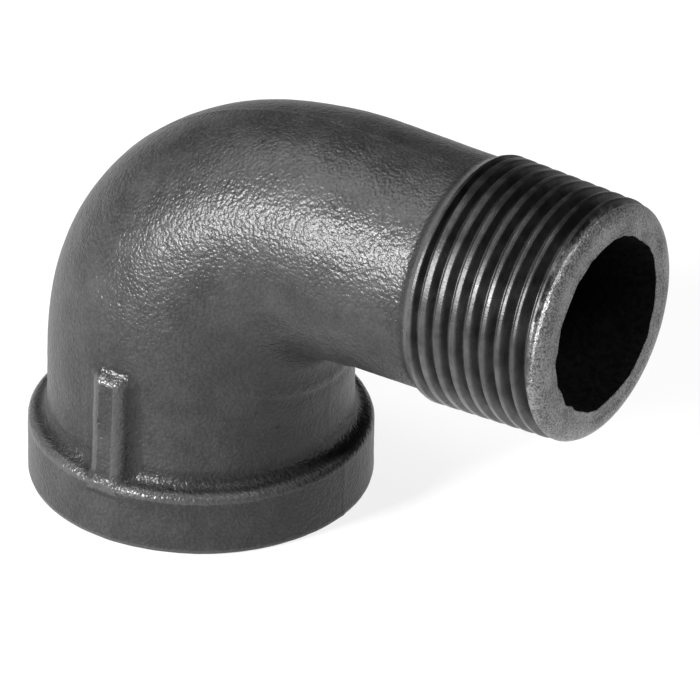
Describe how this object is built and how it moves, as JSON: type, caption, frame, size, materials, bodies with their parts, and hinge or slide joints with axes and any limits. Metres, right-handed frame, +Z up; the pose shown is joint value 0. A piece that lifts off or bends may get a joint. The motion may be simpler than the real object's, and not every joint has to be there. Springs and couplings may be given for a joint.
{
  "type": "pipe elbow",
  "caption": "Black malleable iron street elbow: a banded, internally threaded socket turns through a right angle into a tapered male pipe thread.",
  "frame": {"origin": "under the middle of the bounding box, on the socket's end face", "axes": "+Z up along the socket's axis away from its end face, +X out along the male end's axis, Y across the fitting's plane of symmetry"},
  "size_m": [0.0692, 0.037, 0.0481],
  "materials": {
    "black_malleable_iron": "as cast, dull black, with machined threads"
  },
  "bodies": {
    "root": {"elbow_casting": "black_malleable_iron"}
  },
  "joints": []
}
